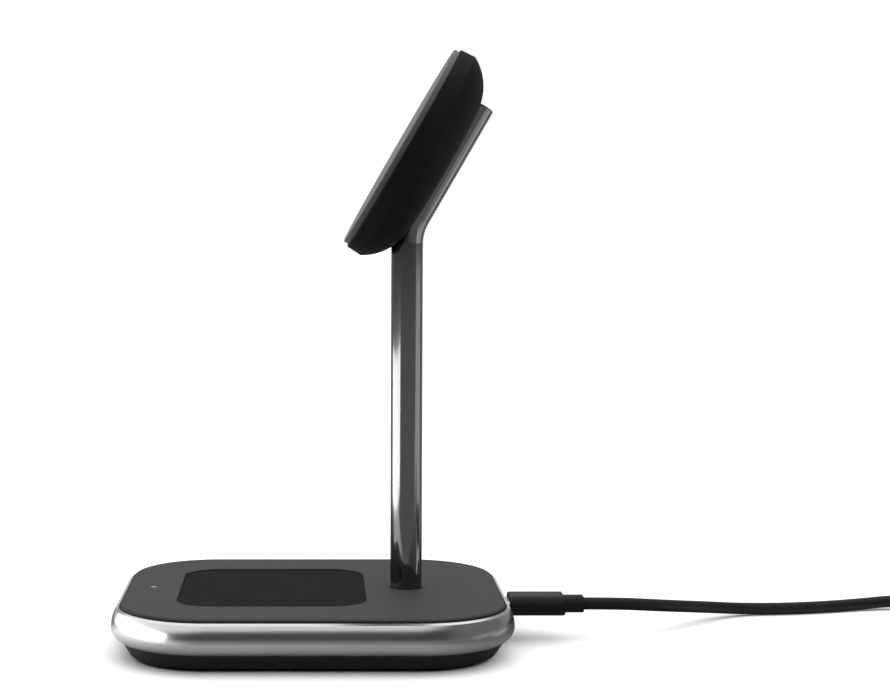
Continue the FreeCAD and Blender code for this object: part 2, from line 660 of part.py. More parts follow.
# Lead from the base's board up the stem to the head's board, and its plug
lead_plug_x = stem_x + SOCKET_FLANGE_DIAMETER / 2 + BOARD_SOCKET_GAP + LEAD_PLUG_GAP
head_board_back = FRAME_SEAT - HEAD_BOARD_THICKNESS
lead_points = [
    Vector(lead_plug_x, 0, z_lead),
    Vector(stem_x, 0, z_lead),
    bend_point,
    head_centre,
    head_place.multVec(Vector(0, 0, -head_board_back)),
]
save("stem_lead", tube(lead_points, [LEAD_TURN, STEM_BEND_RADIUS, LEAD_TURN], LEAD_DIAMETER))
save("lead_plug", box(LEAD_PLUG_LENGTH, LEAD_PLUG_WIDTH, z_board_top, z_board_top + LEAD_PLUG_HEIGHT,
                      lead_plug_x + LEAD_PLUG_LENGTH / 2))

# Head shell: a rim, a dome that flattens at the back, and a rib with the groove for the stem
rim_radius = HEAD_DIAMETER / 2
rim_back = HEAD_RIM - HEAD_FRONT
flat_radius = HEAD_DOME_FLAT / 2
dome_width = rim_radius - flat_radius
dome_height = HEAD_BACK - rim_back
dome_radius = (dome_width**2 + dome_height**2) / (2 * dome_height)


def dome_height_at(radius, inward):
    """Height of the dome, or of its inner face at a wall's depth, at a distance from the axis."""
    side = max(radius - flat_radius, 0.0)
    return HEAD_BACK - dome_radius + math.sqrt((dome_radius - inward)**2 - side**2)


def turned(corners, arc_from, arc_middle, arc_to):
    """A turned solid: corner points from the axis out to an arc that ends flat on the axis side."""
    edges = [Part.makeLine(a, b) for a, b in zip(corners, corners[1:])]
    edges.append(Part.makeLine(corners[-1], arc_from))
    edges.append(Part.Arc(arc_from, arc_middle, arc_to).toShape())
    pole = Vector(0, 0, arc_to.z)
    edges.append(Part.makeLine(arc_to, pole))
    edges.append(Part.makeLine(pole, corners[0]))
    return Part.Face(Part.Wire(edges)).revolve(Vector(0, 0, 0), Z_AXIS, 360)


def dome_point(radius, inward):
    """A point of the dome's section."""
    return Vector(radius, 0, dome_height_at(radius, inward))


shell_corners = [Vector(0, 0, -HEAD_FRONT), Vector(rim_radius - HEAD_RIM_DRAFT, 0, -HEAD_FRONT)]
mid_radius = (rim_radius + flat_radius) / 2
shell = turned(shell_corners, dome_point(rim_radius, 0), dome_point(mid_radius, 0),
               dome_point(flat_radius, 0))
front_edges = [e for e in shell.Edges if abs(e.BoundBox.ZMax + HEAD_FRONT) < 1e-6]
rim = [e for e in front_edges if e.BoundBox.XLength > rim_radius]
shell = shell.makeFillet(HEAD_EDGE, rim)
seat_radius = rim_radius - HEAD_WALL
cavity_radius = seat_radius - FRAME_SHOULDER
cavity_corners = [
    Vector(0, 0, -HEAD_FRONT - OVERRUN),
    Vector(seat_radius, 0, -HEAD_FRONT - OVERRUN),
    Vector(seat_radius, 0, -FRAME_SEAT),
    Vector(cavity_radius, 0, -FRAME_SEAT),
]
mid_radius = (cavity_radius + flat_radius) / 2
cavity = turned(cavity_corners, dome_point(cavity_radius, HEAD_WALL), dome_point(mid_radius, HEAD_WALL),
                dome_point(flat_radius, HEAD_WALL))
cavity = cavity.cut(box(2 * HEAD_DIAMETER, 2 * RIB_HALF_WIDTH, -RIB_FRONT, HEAD_DIAMETER))
shell = at_head(one(shell.cut(cavity)))
groove_end = arm_end + arm_direction * (CAP_THICKNESS + FIT)
groove = tube([stem_foot, bend_point, groove_end], [STEM_BEND_RADIUS], STEM_DIAMETER + 2 * STEM_FIT)
shell = one(shell.cut([groove, lead_hole] + head_screw_holes))
save("head_shell", shell)

# Face plate on the shell's rim
face = cylinder(HEAD_DIAMETER - 2 * FACE_INSET, -HEAD_FRONT - FACE_THICKNESS, -HEAD_FRONT)
rim = [e for e in face.Edges if e.BoundBox.ZMax < -HEAD_FRONT - FACE_THICKNESS + 1e-6]
save("face_plate", at_head(face.makeFillet(FACE_EDGE, rim)))

# Inside the head: coil frame, yoke, magnets, ferrite, coil, board, and the screws into the stem
frame_front = -FRAME_SEAT - FRAME_THICKNESS
yoke_front = frame_front - YOKE_THICKNESS
ferrite_front = frame_front - HEAD_FERRITE_THICKNESS
frame_radius = seat_radius - FRAME_GAP
magnet_outer = frame_radius - MAGNET_RIM_GAP
magnet_inner = magnet_outer - MAGNET_WIDTH
ferrite_radius = magnet_inner - HEAD_FERRITE_GAP
winding_radius = ferrite_radius - HEAD_COIL_INSET
save("coil_frame", at_head(cylinder(2 * frame_radius, frame_front, -FRAME_SEAT)))
save("magnet_yoke", at_head(washer(2 * magnet_outer, 2 * magnet_inner, yoke_front, frame_front)))
magnet_section = polygon([
    Vector(magnet_inner, 0, yoke_front - MAGNET_THICKNESS),
    Vector(magnet_outer, 0, yoke_front - MAGNET_THICKNESS),
    Vector(magnet_outer, 0, yoke_front),
    Vector(magnet_inner, 0, yoke_front),
])
magnets = []
for i in range(MAGNET_COUNT):
    magnet = magnet_section.revolve(Vector(0, 0, 0), Z_AXIS, 360 / MAGNET_COUNT - MAGNET_GAP_DEG)
    magnet.rotate(Vector(0, 0, 0), Z_AXIS, 360 / MAGNET_COUNT * i)
    magnets.append(at_head(magnet))
save("magnets", group(magnets))
save("head_ferrite", at_head(cylinder(2 * ferrite_radius, ferrite_front, frame_front)))
winding = washer(2 * winding_radius, 2 * (winding_radius - HEAD_COIL_WIDTH),
                 ferrite_front - HEAD_COIL_THICKNESS, ferrite_front)
save("head_coil", at_head(winding))
save("head_board", at_head(box(HEAD_BOARD_LENGTH, HEAD_BOARD_WIDTH, -FRAME_SEAT, -head_board_back)))
head_screw_length = RIB_FRONT - stem_bore / 2 + HEAD_SCREW_BITE
head_screws = []
for x in head_screw_spots:
    piece = screw(HEAD_SCREW_HEAD, HEAD_SCREW_HEAD_HEIGHT, HEAD_SCREW_DIAMETER, head_screw_length)
    head_screws.append(at_head(piece.translated(Vector(x, 0, -RIB_FRONT))))
save("head_screws", group(head_screws))


def plug_pieces():
    """Metal shell, moulded body and strain relief of a plug with its face at x = 0 and its cord at +X."""
    width = PORT_WIDTH - 2 * PORT_WALL - 2 * PLUG_SHELL_GAP
    height = PORT_HEIGHT - 2 * PORT_WALL - 2 * PLUG_SHELL_GAP
    metal = stadium_bar(width, height, PLUG_SHELL_LENGTH)
    hollow = stadium_bar(width - 2 * PLUG_SHELL_WALL, height - 2 * PLUG_SHELL_WALL, PLUG_SHELL_LENGTH)
    metal = metal.cut(hollow)
    metal = one(metal.translated(Vector(-PLUG_SHELL_LENGTH, 0, 0)))
    body = stadium_bar(PLUG_BODY_WIDTH, PLUG_BODY_HEIGHT, PLUG_BODY_LENGTH)
    ends = [e for e in body.Edges if e.BoundBox.XLength < 1e-6]
    body = body.makeFillet(PLUG_BODY_EDGE, ends)
    relief = stadium_bar(RELIEF_WIDTH, RELIEF_HEIGHT, RELIEF_LENGTH)
    ends = [e for e in relief.Edges if e.BoundBox.XMin > RELIEF_LENGTH - 1e-6]
    relief = relief.makeFillet(RELIEF_EDGE, ends)
    return metal, body, relief.translated(Vector(PLUG_BODY_LENGTH, 0, 0))


# Plug in the base's socket
plug_face = Vector(half + PLUG_FACE_GAP, 0, z_port)
for name, piece in zip(["plug_shell", "plug_body", "plug_relief"], plug_pieces()):
    save(name, piece.translated(plug_face))

# Power cord: out of the plug, down to the table and away to its coil
cord_start = plug_face + X_AXIS * (PLUG_BODY_LENGTH + RELIEF_LENGTH)
z_table_run = CORD_DIAMETER / 2 + CORD_LIFT
coil_low = TIE_THICKNESS + TIE_GAP
cord_end = Vector(plug_face.x + CORD_END_X, CORD_END_Y, coil_low + COIL_PITCH / 2)
cord_points = [cord_start, cord_start + X_AXIS * CORD_FIRST_RUN]
cord_points += [Vector(plug_face.x + x, y, z_table_run + rise) for x, y, rise in CORD_ROUTE]
cord_points += [cord_end - X_AXIS * CORD_LAST_RUN, cord_end]


def save_cord(name, points):
    """Writes a cord whose every arc is as easy as its runs allow, and prints the radii."""
    radii = [route_radius(a, b, c) for a, b, c in zip(points, points[1:], points[2:])]
    print(name, "radii", [round(r, 1) for r in radii], "length", round(route_wire(points, radii).Length, 1))
    save(name, tube(points, radii, CORD_DIAMETER))


save_cord("cord", cord_points)

# Put-away length: the outer shape of the coil, with a straight stub where the cord enters and leaves
coil_turn = COIL_MID_RADIUS + (COIL_COLUMNS - 1) / 2 * COIL_PITCH
coil_outer = COIL_MID_RADIUS + COIL_COLUMNS / 2 * COIL_PITCH
coil_inner = COIL_MID_RADIUS - COIL_COLUMNS / 2 * COIL_PITCH
coil_high = coil_low + COIL_LAYERS * COIL_PITCH
coil_centre = Vector(cord_end.x + COIL_LEAD_IN, cord_end.y - coil_turn, 0)
coil = washer(2 * coil_outer, 2 * coil_inner, coil_low, coil_high)
coil = coil.makeFillet(COIL_EDGE, [e for e in coil.Edges if e.BoundBox.ZLength < 1e-6])
coil = coil.translated(coil_centre)
tail_start = coil_centre + Vector(coil_turn, -COIL_LEAD_OUT, coil_high - COIL_PITCH / 2)
stub_in = Part.makeCylinder(CORD_DIAMETER / 2, COIL_LEAD_IN, cord_end, X_AXIS)
stub_out = Part.makeCylinder(CORD_DIAMETER / 2, COIL_LEAD_OUT, tail_start, Y_AXIS)
save("cord_coil", one(coil.multiFuse([stub_in, stub_out])))

# Strap that ties the coil
tie_inner = math.sqrt(coil_inner**2 - (TIE_WIDTH / 2)**2) - TIE_GAP
tie_outer = coil_outer + TIE_GAP
loop = Part.makeBox(tie_outer - tie_inner + 2 * TIE_THICKNESS, TIE_WIDTH,
                    coil_high + TIE_GAP + TIE_THICKNESS, Vector(tie_inner - TIE_THICKNESS, -TIE_WIDTH / 2, 0))
inside = Part.makeBox(tie_outer - tie_inner, 2 * TIE_WIDTH, coil_high - coil_low + 2 * TIE_GAP,
                      Vector(tie_inner, -TIE_WIDTH, TIE_THICKNESS))
tie = one(loop.cut(inside))
tie.rotate(Vector(0, 0, 0), Z_AXIS, TIE_ANGLE)
save("coil_tie", tie.translated(coil_centre))

# Tail of the cord, and the far plug lying beside the coil
drop = tail_start.z - PLUG_BODY_HEIGHT / 2
tail_points = [tail_start, tail_start - Y_AXIS * TAIL_END_RUN]
tail_points.append(tail_points[-1] - Y_AXIS * TAIL_DROP_RUN - Z_AXIS * drop)
tail_points.append(tail_points[-1] - Y_AXIS * TAIL_END_RUN)
save_cord("cord_tail", tail_points)
far_face = tail_points[-1] - Y_AXIS * (PLUG_BODY_LENGTH + RELIEF_LENGTH)
for name, piece in zip(["far_plug_shell", "far_plug_body", "far_plug_relief"], plug_pieces()):
    piece.rotate(Vector(0, 0, 0), Z_AXIS, 90)
    piece.translate(far_face)
    save(name, piece)
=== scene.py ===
import math

import bmesh
import bpy
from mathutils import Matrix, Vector


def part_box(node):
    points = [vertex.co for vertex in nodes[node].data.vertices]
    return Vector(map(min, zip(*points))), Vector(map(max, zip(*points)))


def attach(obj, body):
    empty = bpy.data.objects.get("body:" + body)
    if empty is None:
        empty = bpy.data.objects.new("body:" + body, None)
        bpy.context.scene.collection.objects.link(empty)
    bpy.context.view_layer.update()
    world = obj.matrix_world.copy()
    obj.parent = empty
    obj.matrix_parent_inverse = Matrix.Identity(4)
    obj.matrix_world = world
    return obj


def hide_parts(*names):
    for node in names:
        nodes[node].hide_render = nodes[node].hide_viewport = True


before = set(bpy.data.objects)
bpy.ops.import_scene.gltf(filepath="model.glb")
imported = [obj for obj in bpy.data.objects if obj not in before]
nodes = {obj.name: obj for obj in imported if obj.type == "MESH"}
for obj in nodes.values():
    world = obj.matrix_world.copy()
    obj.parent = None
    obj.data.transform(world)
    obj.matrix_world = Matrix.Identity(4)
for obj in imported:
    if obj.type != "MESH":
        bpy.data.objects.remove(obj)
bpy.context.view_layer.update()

# Camera: it faces one long side of the station, about level with the stem's bend and tipped a little down.
# The shift keeps the object left of the middle, where the photograph has it.
photo_width = 890
focal_pixels = 1892.0
optical_axis_column = 312.9
camera_distance = 0.4927
camera_height = 0.1113
camera_dip = 4.06
camera_data = bpy.data.cameras.new("camera")
camera_data.sensor_width = 36.0
camera_data.lens = camera_data.sensor_width * focal_pixels / photo_width
camera_data.shift_x = (photo_width / 2 - optical_axis_column) / photo_width
camera_data.clip_start = 0.01
camera = bpy.data.objects.new("camera", camera_data)
camera.location = (0.0, -camera_distance, camera_height)
camera.rotation_euler = (math.radians(90 - camera_dip), 0.0, 0.0)
bpy.context.scene.collection.objects.link(camera)
bpy.context.scene.camera = camera

# Power cord: a round charging lead with a matte black jacket, out of the plug, down to the table and away.
# The length past the picture's edge is wound into a coil of two layers and ends at the far plug.
cord_diameter = 0.0033
relief_low, relief_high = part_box("plug_relief")
cord_exit = (relief_high[0], 0.0, 0.5 * (relief_low[2] + relief_high[2]))
table_run = 0.0017
lower_layer = 0.00235
upper_layer = 0.00585
far_plug_height = 0.0026
coil_centre = (0.1895, 0.01175)
coil_pitch = 0.0035
coil_outer_turn = 0.02525
coil_side = coil_centre[1] + coil_outer_turn
tail_x = coil_centre[0] + coil_outer_turn
turns_per_layer = 3.625
points_per_turn = 16
inmost_column = 3.0
step_start = 0.8
step_share = 0.2
climb_lead = 0.2
climb_share = 0.25
jacket_dark = (0.0050, 0.0050, 0.0053, 1.0)
jacket_pale = (0.0095, 0.0095, 0.0100, 1.0)


def limited(value):
    return min(max(value, 0.0), 1.0)


cord_route = [
    cord_exit,
    (0.0802, 0.0, cord_exit[2]),
    (0.0900, 0.0044, 0.0079),
    (0.0995, 0.0126, 0.00585),
    (0.1085, 0.0220, 0.00365),
    (0.1190, 0.0286, 0.00185),
    (0.1305, 0.0294, table_run),
    (0.1422, 0.0314, table_run),
    (0.1535, 0.0350, table_run),
    (0.1645, coil_side, lower_layer),
    (0.1735, coil_side, lower_layer),
    (0.1815, coil_side, lower_layer),
]
step_count = round(2 * turns_per_layer * points_per_turn)
for i in range(step_count + 1):
    turned = i / points_per_turn
    inward = turned < turns_per_layer
    in_layer = turned if inward else turned - turns_per_layer
    column = math.floor(in_layer) + limited((in_layer % 1 - step_start) / step_share)
    column = min(column, inmost_column)
    column = column if inward else inmost_column - column
    climb = limited((turned - turns_per_layer + climb_lead) / climb_share)
    radius = (coil_outer_turn - coil_pitch * column) / math.cos(math.pi / points_per_turn)
    angle = math.pi / 2 - 2 * math.pi * turned
    x = coil_centre[0] + radius * math.cos(angle)
    y = coil_centre[1] + radius * math.sin(angle)
    cord_route.append((x, y, lower_layer + climb * (upper_layer - lower_layer)))
cord_route += [
    (tail_x, 0.0040, upper_layer),
    (tail_x, -0.00425, upper_layer),
    (tail_x, -0.01125, upper_layer),
    (tail_x, -0.02125, far_plug_height),
    (tail_x, -0.02825, far_plug_height),
]
cord_curve = bpy.data.curves.new("power_cord", "CURVE")
cord_curve.dimensions = "3D"
cord_curve.bevel_depth = cord_diameter / 2
cord_curve.bevel_resolution = 6
cord_curve.resolution_u = 8
cord_curve.use_fill_caps = True
spline = cord_curve.splines.new("NURBS")
spline.points.add(len(cord_route) - 1)
for point, stop in zip(spline.points, cord_route):
    point.co = (*stop, 1.0)
spline.order_u = 3
spline.use_endpoint_u = True
cord = bpy.data.objects.new("power_cord", cord_curve)
bpy.context.scene.collection.objects.link(cord)


def begin_finish(title):
    finish = bpy.data.materials.new(title)
    finish.use_nodes = True
    tree = finish.node_tree
    return finish, tree, tree.nodes["Principled BSDF"]


def feed(tree, source, socket):
    if isinstance(source, bpy.types.NodeSocket):
        tree.links.new(source, socket)
    else:
        socket.default_value = source


def mottle(tree, place, scale, detail=2.0):
    noise = tree.nodes.new("ShaderNodeTexNoise")
    feed(tree, scale, noise.inputs["Scale"])
    noise.inputs["Detail"].default_value = detail
    tree.links.new(place, noise.inputs["Vector"])
    return noise.outputs["Fac"]


def blend(tree, share, first, second, kind="RGBA"):
    mix = tree.nodes.new("ShaderNodeMix")
    mix.data_type = kind
    for name, source in (("Factor", share), ("A", first), ("B", second)):
        feed(tree, source, mix.inputs[name])
    return mix.outputs["Result"]


def rescale(tree, value, reads=(0.0, 1.0), gives=(0.0, 1.0), smooth=False):
    span = tree.nodes.new("ShaderNodeMapRange")
    span.interpolation_type = "SMOOTHSTEP" if smooth else "LINEAR"
    for name, limit in zip(("From Min", "From Max", "To Min", "To Max"), (*reads, *gives)):
        span.inputs[name].default_value = limit
    tree.links.new(value, span.inputs["Value"])
    return span.outputs["Result"]


def emboss(tree, height, strength, depth):
    bump = tree.nodes.new("ShaderNodeBump")
    feed(tree, strength, bump.inputs["Strength"])
    bump.inputs["Distance"].default_value = depth
    tree.links.new(height, bump.inputs["Height"])
    return bump.outputs["Normal"]


def coat(tree, shader, tint, roughness):
    tree.links.new(tint, shader.inputs["Base Color"])
    tree.links.new(roughness, shader.inputs["Roughness"])


jacket, tree, shader = begin_finish("cord_jacket")
shader.inputs["Specular IOR Level"].default_value = 0.16
place = tree.nodes.new("ShaderNodeTexCoord").outputs["Object"]
streaks = mottle(tree, place, scale=220.0, detail=3.0)
tint = blend(tree, streaks, jacket_dark, jacket_pale)
coat(tree, shader, tint, rescale(tree, streaks, gives=(0.38, 0.55)))
skin = mottle(tree, place, scale=4200.0)
tree.links.new(emboss(tree, skin, strength=0.15, depth=0.00005), shader.inputs["Normal"])
cord_curve.materials.append(jacket)
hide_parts("cord", "cord_coil", "cord_tail")
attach(cord, "root")

# Coil tie: a black hook-and-loop strap, woven on one side, wrapped once round the turns and pressed shut.
# Its loop is drawn in the coil's own section and swept to the strap's width.
strap_width = 0.0076
strap_thickness = 0.00045
strap_angle = math.radians(215.0)
strap_low = 0.00003
strap_high = 0.0081
strap_near = 0.0119
strap_far = 0.02755
strap_corner = 0.0022
corner_steps = 6
width_steps = 4
across = Vector((math.cos(strap_angle), math.sin(strap_angle), 0.0))
along = Vector((-math.sin(strap_angle), math.cos(strap_angle), 0.0))
strap_corners = [
    (strap_far - strap_corner, strap_high - strap_corner, 0),
    (strap_near + strap_corner, strap_high - strap_corner, 90),
    (strap_near + strap_corner, strap_low + strap_corner, 180),
    (strap_far - strap_corner, strap_low + strap_corner, 270),
]
strap_loop = []
for centre_r, centre_z, start in strap_corners:
    for step in range(corner_steps + 1):
        turn = math.radians(start + 90 / corner_steps * step)
        r = centre_r + strap_corner * math.cos(turn)
        strap_loop.append((r, centre_z + strap_corner * math.sin(turn)))
strap_mesh = bpy.data.meshes.new("coil_strap")
work = bmesh.new()
rows = []
for r, z in strap_loop:
    row = []
    for step in range(width_steps + 1):
        side = strap_width * (step / width_steps - 0.5)
        row.append(work.verts.new(Vector((*coil_centre, z)) + across * r + along * side))
    rows.append(row)
for i, row in enumerate(rows):
    following = rows[(i + 1) % len(rows)]
    for step in range(width_steps):
        work.faces.new((row[step], row[step + 1], following[step + 1], following[step]))
bmesh.ops.recalc_face_normals(work, faces=work.faces)
work.to_mesh(strap_mesh)
work.free()
strap_mesh.polygons.foreach_set("use_smooth", [True] * len(strap_mesh.polygons))
strap = bpy.data.objects.new("coil_strap", strap_mesh)
bpy.context.scene.collection.objects.link(strap)
strap_wall = strap.modifiers.new("thickness", "SOLIDIFY")
strap_wall.thickness = strap_thickness
strap_wall.offset = -1.0
webbing, tree, shader = begin_finish("strap_webbing")
shader.inputs["Roughness"].default_value = 0.85
shader.inputs["Sheen Weight"].default_value = 0.07
place = tree.nodes.new("ShaderNodeTexCoord").outputs["Object"]
weave = tree.nodes.new("ShaderNodeTexChecker")
weave.inputs["Scale"].default_value = 2600.0
weave.inputs["Color1"].default_value = (0.012, 0.012, 0.013, 1.0)
weave.inputs["Color2"].default_value = (0.028, 0.028, 0.030, 1.0)
tree.links.new(place, weave.inputs["Vector"])
tree.links.new(weave.outputs["Color"], shader.inputs["Base Color"])
woven = emboss(tree, weave.outputs["Fac"], strength=0.5, depth=0.0001)
tree.links.new(woven, shader.inputs["Normal"])
strap_mesh.materials.append(webbing)
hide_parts("coil_tie")
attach(strap, "root")

# Bottom tray: the black moulded pan that closes the base, spark-eroded matte, held by screws from below.
# Its texture and worn edges are groups of nodes, since the head's shell and the plugs share them.
tray_black = (0.0052, 0.0052, 0.0054, 1.0)
tray_rubbed = (0.030, 0.030, 0.031, 1.0)
grain = bpy.data.node_groups.new("moulded_grain", "ShaderNodeTree")
grain.interface.new_socket("Scale", in_out="INPUT", socket_type="NodeSocketFloat")
grain.interface.new_socket("Depth", in_out="INPUT", socket_type="NodeSocketFloat")
grain.interface.new_socket("Variation", in_out="OUTPUT", socket_type="NodeSocketFloat")
grain.interface.new_socket("Normal", in_out="OUTPUT", socket_type="NodeSocketVector")
grain_in = grain.nodes.new("NodeGroupInput")
grain_out = grain.nodes.new("NodeGroupOutput")
place = grain.nodes.new("ShaderNodeTexCoord").outputs["Object"]
tooth = mottle(grain, place, scale=grain_in.outputs["Scale"])
tooth_normal = emboss(grain, tooth, strength=grain_in.outputs["Depth"], depth=0.00006)
grain.links.new(tooth_normal, grain_out.inputs["Normal"])
grain.links.new(mottle(grain, place, scale=95.0, detail=5.0), grain_out.inputs["Variation"])


def reckon(tree, operation, *values):
    sum_node = tree.nodes.new("ShaderNodeMath")
    sum_node.operation = operation
    for socket, value in zip(sum_node.inputs, values):
        feed(tree, value, socket)
    return sum_node.outputs["Value"]


wear = bpy.data.node_groups.new("worn_edges", "ShaderNodeTree")
wear.interface.new_socket("Amount", in_out="INPUT", socket_type="NodeSocketFloat")
wear.interface.new_socket("Mask", in_out="OUTPUT", socket_type="NodeSocketFloat")
wear_in = wear.nodes.new("NodeGroupInput")
wear_out = wear.nodes.new("NodeGroupOutput")
pointiness = wear.nodes.new("ShaderNodeNewGeometry").outputs["Pointiness"]
place = wear.nodes.new("ShaderNodeTexCoord").outputs["Object"]
sharp_edge = rescale(wear, pointiness, reads=(0.52, 0.66))
broken_edge = reckon(wear, "MULTIPLY", sharp_edge, mottle(wear, place, scale=420.0))
rubbing = reckon(wear, "MULTIPLY", broken_edge, wear_in.outputs["Amount"])
wear.links.new(rubbing, wear_out.inputs["Mask"])


def add_grain(tree, shader, scale, depth):
    texture = tree.nodes.new("ShaderNodeGroup")
    texture.node_tree = grain
    texture.inputs["Scale"].default_value = scale
    texture.inputs["Depth"].default_value = depth
    tree.links.new(texture.outputs["Normal"], shader.inputs["Normal"])
    return texture.outputs["Variation"]


def add_wear(tree, amount):
    rubbed = tree.nodes.new("ShaderNodeGroup")
    rubbed.node_tree = wear
    rubbed.inputs["Amount"].default_value = amount
    return rubbed.outputs["Mask"]


def dress(finish, *names):
    for name in names:
        nodes[name].data.materials.clear()
        nodes[name].data.materials.append(finish)


tray_plastic, tree, shader = begin_finish("tray_plastic")
shader.inputs["Specular IOR Level"].default_value = 0.25
variation = add_grain(tree, shader, scale=5200.0, depth=0.35)
tint = blend(tree, add_wear(tree, amount=0.7), tray_black, tray_rubbed)
coat(tree, shader, tint, rescale(tree, variation, gives=(0.48, 0.66)))
dress(tray_plastic, "bottom_tray")

# Feet: four soft black rubber discs glued into the tray's pockets over the screws.
# Rubber is dull and a little dusty, in patches.
rubber_black = (0.016, 0.016, 0.016, 1.0)
rubber_dust = (0.040, 0.039, 0.037, 1.0)
foot_rubber, tree, shader = begin_finish("foot_rubber")
shader.inputs["Specular IOR Level"].default_value = 0.25
variation = add_grain(tree, shader, scale=3100.0, depth=0.5)
tint = blend(tree, variation, rubber_black, rubber_dust)
coat(tree, shader, tint, rescale(tree, variation, gives=(0.72, 0.92)))
dress(foot_rubber, "foot_front_left", "foot_front_right", "foot_rear_left", "foot_rear_right")

# Metal band: a rolled aluminium hoop, satin round its barrel side, with a bright cut chamfer on top.
# Fine brushing runs round the hoop; the chamfer is found by its height above the barrel.
band_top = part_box("metal_band")[1][2]
chamfer_drop = 0.00045
chamfer_roughness = 0.22
satin_dark = (0.43, 0.432, 0.436, 1.0)
satin_pale = (0.53, 0.532, 0.536, 1.0)
cut_bright = (0.58, 0.58, 0.585, 1.0)
brush_stretch = (60.0, 60.0, 9000.0)
band_metal, tree, shader = begin_finish("band_metal")
shader.inputs["Metallic"].default_value = 1.0


def split(tree, vector):
    parts = tree.nodes.new("ShaderNodeSeparateXYZ")
    tree.links.new(vector, parts.inputs["Vector"])
    return parts.outputs


def stretched(tree, scale):
    place = tree.nodes.new("ShaderNodeTexCoord").outputs["Object"]
    mapping = tree.nodes.new("ShaderNodeMapping")
    mapping.inputs["Scale"].default_value = scale
    tree.links.new(place, mapping.inputs["Vector"])
    return mapping.outputs["Vector"]


height = split(tree, tree.nodes.new("ShaderNodeNewGeometry").outputs["Position"])["Z"]
chamfer = reckon(tree, "GREATER_THAN", height, band_top - chamfer_drop)
brushing = mottle(tree, stretched(tree, brush_stretch), scale=1.0, detail=4.0)
satin = rescale(tree, brushing, gives=(0.17, 0.29))
tint = blend(tree, chamfer, blend(tree, brushing, satin_dark, satin_pale), cut_bright)
coat(tree, shader, tint, blend(tree, chamfer, satin, chamfer_roughness, kind="FLOAT"))
tree.links.new(emboss(tree, brushing, strength=0.08, depth=0.00004), shader.inputs["Normal"])
dress(band_metal, "metal_band")

# Deck: the dark grey top of the base, moulded and sprayed with a soft-touch coat, rolled down at its edge.
# The coat scatters light evenly, with a fine tooth, and is rubbed lighter in places; on the roll its
# colour is darkened as painted shade.
deck_grey = (0.035, 0.035, 0.0355, 1.0)
deck_pale = (0.0415, 0.0415, 0.042, 1.0)
deck_rubbed = (0.060, 0.060, 0.061, 1.0)
roll_painted_shade = (0.006, 0.006, 0.0062, 1.0)
deck_coat, tree, shader = begin_finish("deck_coat")
shader.inputs["Specular IOR Level"].default_value = 0.1
shader.inputs["Sheen Weight"].default_value = 0.02
shader.inputs["Sheen Roughness"].default_value = 0.5
variation = add_grain(tree, shader, scale=4300.0, depth=0.45)
flat_tint = blend(tree, variation, deck_grey, deck_pale)
worn_tint = blend(tree, add_wear(tree, amount=0.15), flat_tint, deck_rubbed)
# Painted shade: the colour darkens as the surface turns from facing up down over the roll.
facing_up = split(tree, tree.nodes.new("ShaderNodeNewGeometry").outputs["Normal"])["Z"]
roll = rescale(tree, facing_up, reads=(0.98, 0.45), smooth=True)
tint = blend(tree, roll, worn_tint, roll_painted_shade)
coat(tree, shader, tint, rescale(tree, variation, gives=(0.58, 0.74)))
dress(deck_coat, "deck")

# Spot inlay: a thin black silicone sheet glued into the deck's recess, so that what it charges stays put.
# It is darker than the deck round it, and its gloss is lower.
inlay_black = (0.0062, 0.0062, 0.0063, 1.0)
inlay_pale = (0.0095, 0.0095, 0.0096, 1.0)
inlay_silicone, tree, shader = begin_finish("inlay_silicone")
shader.inputs["Specular IOR Level"].default_value = 0.04
variation = add_grain(tree, shader, scale=3600.0, depth=0.3)
tint = blend(tree, variation, inlay_black, inlay_pale)
coat(tree, shader, tint, rescale(tree, variation, gives=(0.62, 0.82)))
dress(inlay_silicone, "spot_inlay")

# Status light: a clear light pipe pressed into the deck, lit blue from the board while there is power.
# The glow is strongest in the middle of the pipe and fades to its rim.
light_low, light_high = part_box("light_pipe")
light_middle = (0.5 * (light_low[0] + light_high[0]), 0.0, light_high[2])
light_reach = 0.0008
glow_middle = (0.14, 0.44, 1.0, 1.0)
glow_rim = (0.03, 0.12, 0.30, 1.0)


def distance_from(tree, point):
    position = tree.nodes.new("ShaderNodeNewGeometry").outputs["Position"]
    reach = tree.nodes.new("ShaderNodeVectorMath")
    reach.operation = "DISTANCE"
    reach.inputs[1].default_value = point
    tree.links.new(position, reach.inputs[0])
    return reach.outputs["Value"]


light_lens, tree, shader = begin_finish("light_lens")
shader.inputs["Base Color"].default_value = (0.10, 0.13, 0.19, 1.0)
shader.inputs["Roughness"].default_value = 0.25
shader.inputs["Emission Strength"].default_value = 0.25
fade = rescale(tree, distance_from(tree, light_middle), reads=(0.0, light_reach))
tree.links.new(blend(tree, fade, glow_middle, glow_rim), shader.inputs["Emission Color"])
dress(light_lens, "light_pipe", "status_led")

# Stem: a bent steel tube plated in dark chrome and polished to a mirror, with a cap of the same finish.
# Faint draw lines run along it, and finger marks soften the gloss in places.
chrome_dark = (0.150, 0.145, 0.145, 1.0)
chrome_pale = (0.185, 0.180, 0.180, 1.0)
draw_stretch = (2600.0, 2600.0, 12.0)
stem_plating, tree, shader = begin_finish("stem_plating")
shader.inputs["Metallic"].default_value = 1.0
place = tree.nodes.new("ShaderNodeTexCoord").outputs["Object"]
smudge = mottle(tree, place, scale=60.0, detail=6.0)
tint = blend(tree, smudge, chrome_dark, chrome_pale)
coat(tree, shader, tint, rescale(tree, smudge, reads=(0.35, 0.75), gives=(0.06, 0.16)))
draw_lines = mottle(tree, stretched(tree, draw_stretch), scale=1.0)
tree.links.new(emboss(tree, draw_lines, strength=0.03, depth=0.00002), shader.inputs["Normal"])
dress(stem_plating, "stem_tube", "stem_cap")

